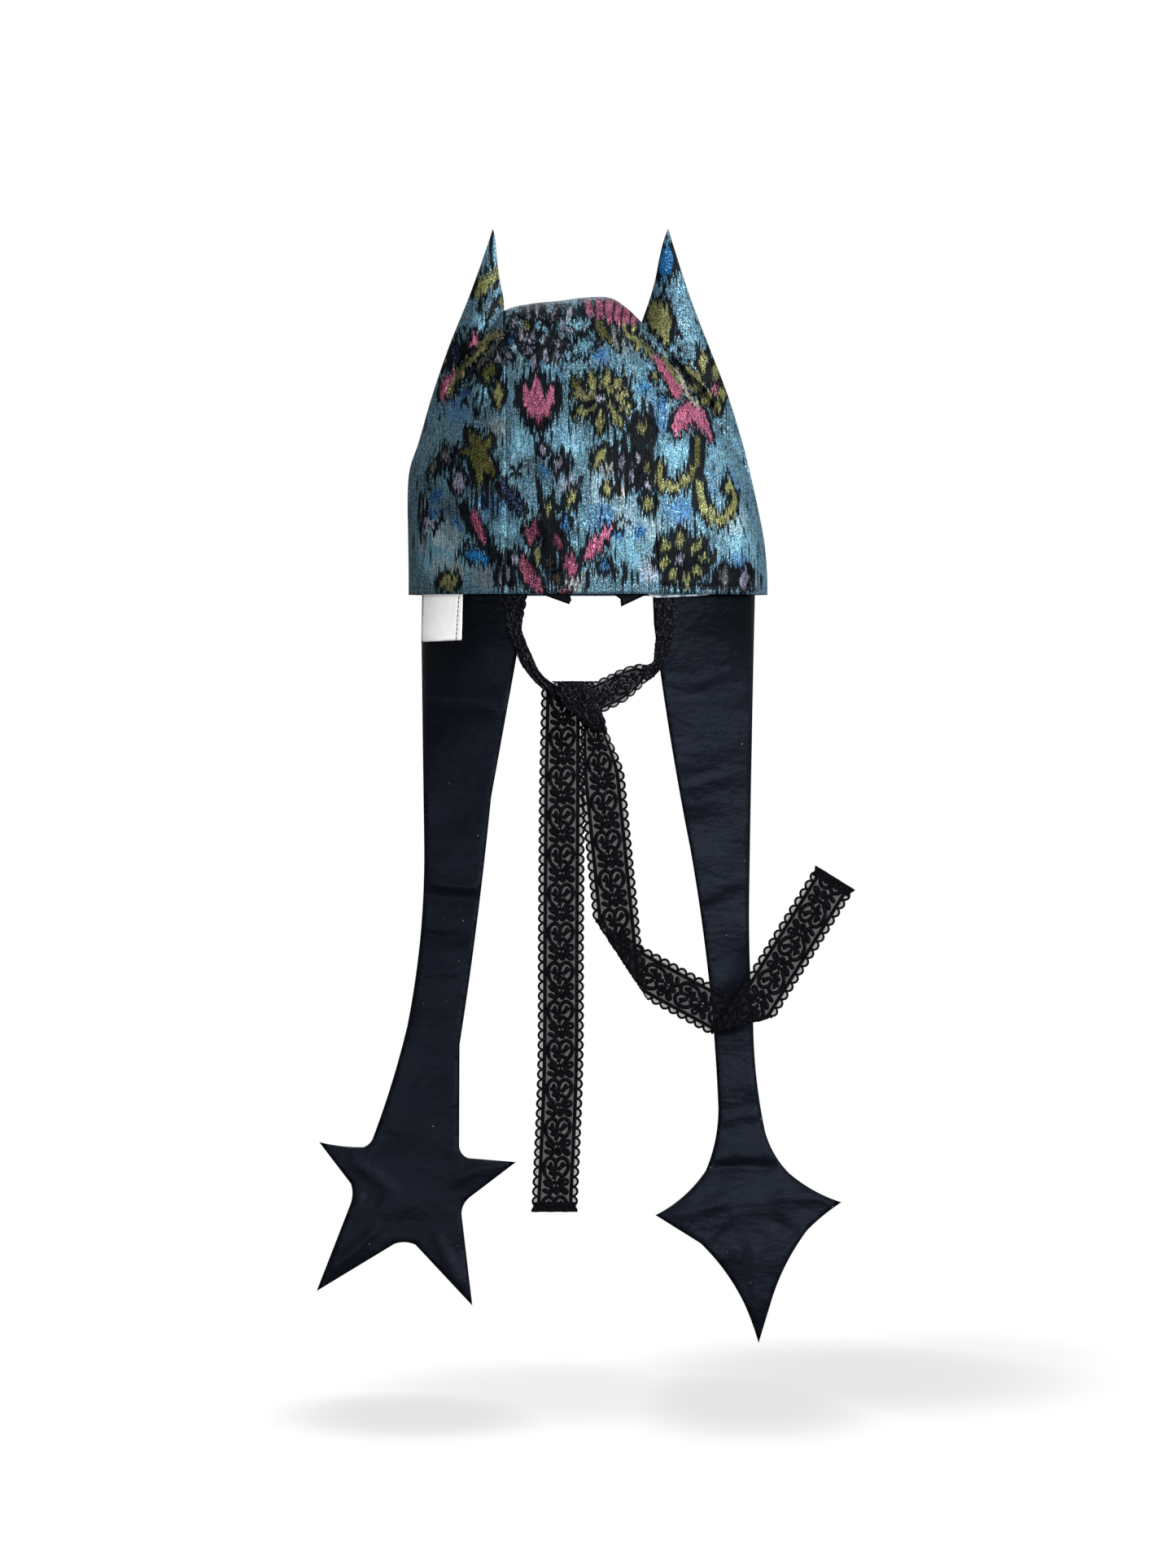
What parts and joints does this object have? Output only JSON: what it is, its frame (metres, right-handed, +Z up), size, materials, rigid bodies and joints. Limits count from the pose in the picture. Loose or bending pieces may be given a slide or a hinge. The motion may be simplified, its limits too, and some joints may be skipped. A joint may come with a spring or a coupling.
{
  "type": "horned bonnet with tie ribbons",
  "caption": "Soft printed bonnet with horn-shaped ears, hanging star-ended sateen tails and lace ribbons knotted as a chin tie.",
  "frame": {"origin": "middle of the head opening, level with the crown's hem, where the bonnet sits on a head", "axes": "+Z up through the crown, -Y towards the front, +X to the right seen from the front"},
  "size_m": [0.3609, 0.14, 0.7443],
  "materials": {
    "printed_lurex": "metallic thread cloth with a floral print",
    "plaid_lining": "matte woven check",
    "sateen": "soft black sateen",
    "lace": "sheer black lace ribbon",
    "label_cloth": "bare satin tape"
  },
  "bodies": {
    "root": {"crown_band": "printed_lurex", "crown_side_left": "printed_lurex", "crown_side_right": "printed_lurex", "lining_band": "plaid_lining", "tail_left": "sateen", "tail_right": "sateen", "rim_tab_left": "sateen", "rim_tab_right": "sateen", "label": "label_cloth", "tie_loop_left": "lace", "tie_loop_right": "lace", "tie_knot": "lace", "tie_end_straight": "lace", "tie_end_folded": "lace"}
  },
  "joints": []
}
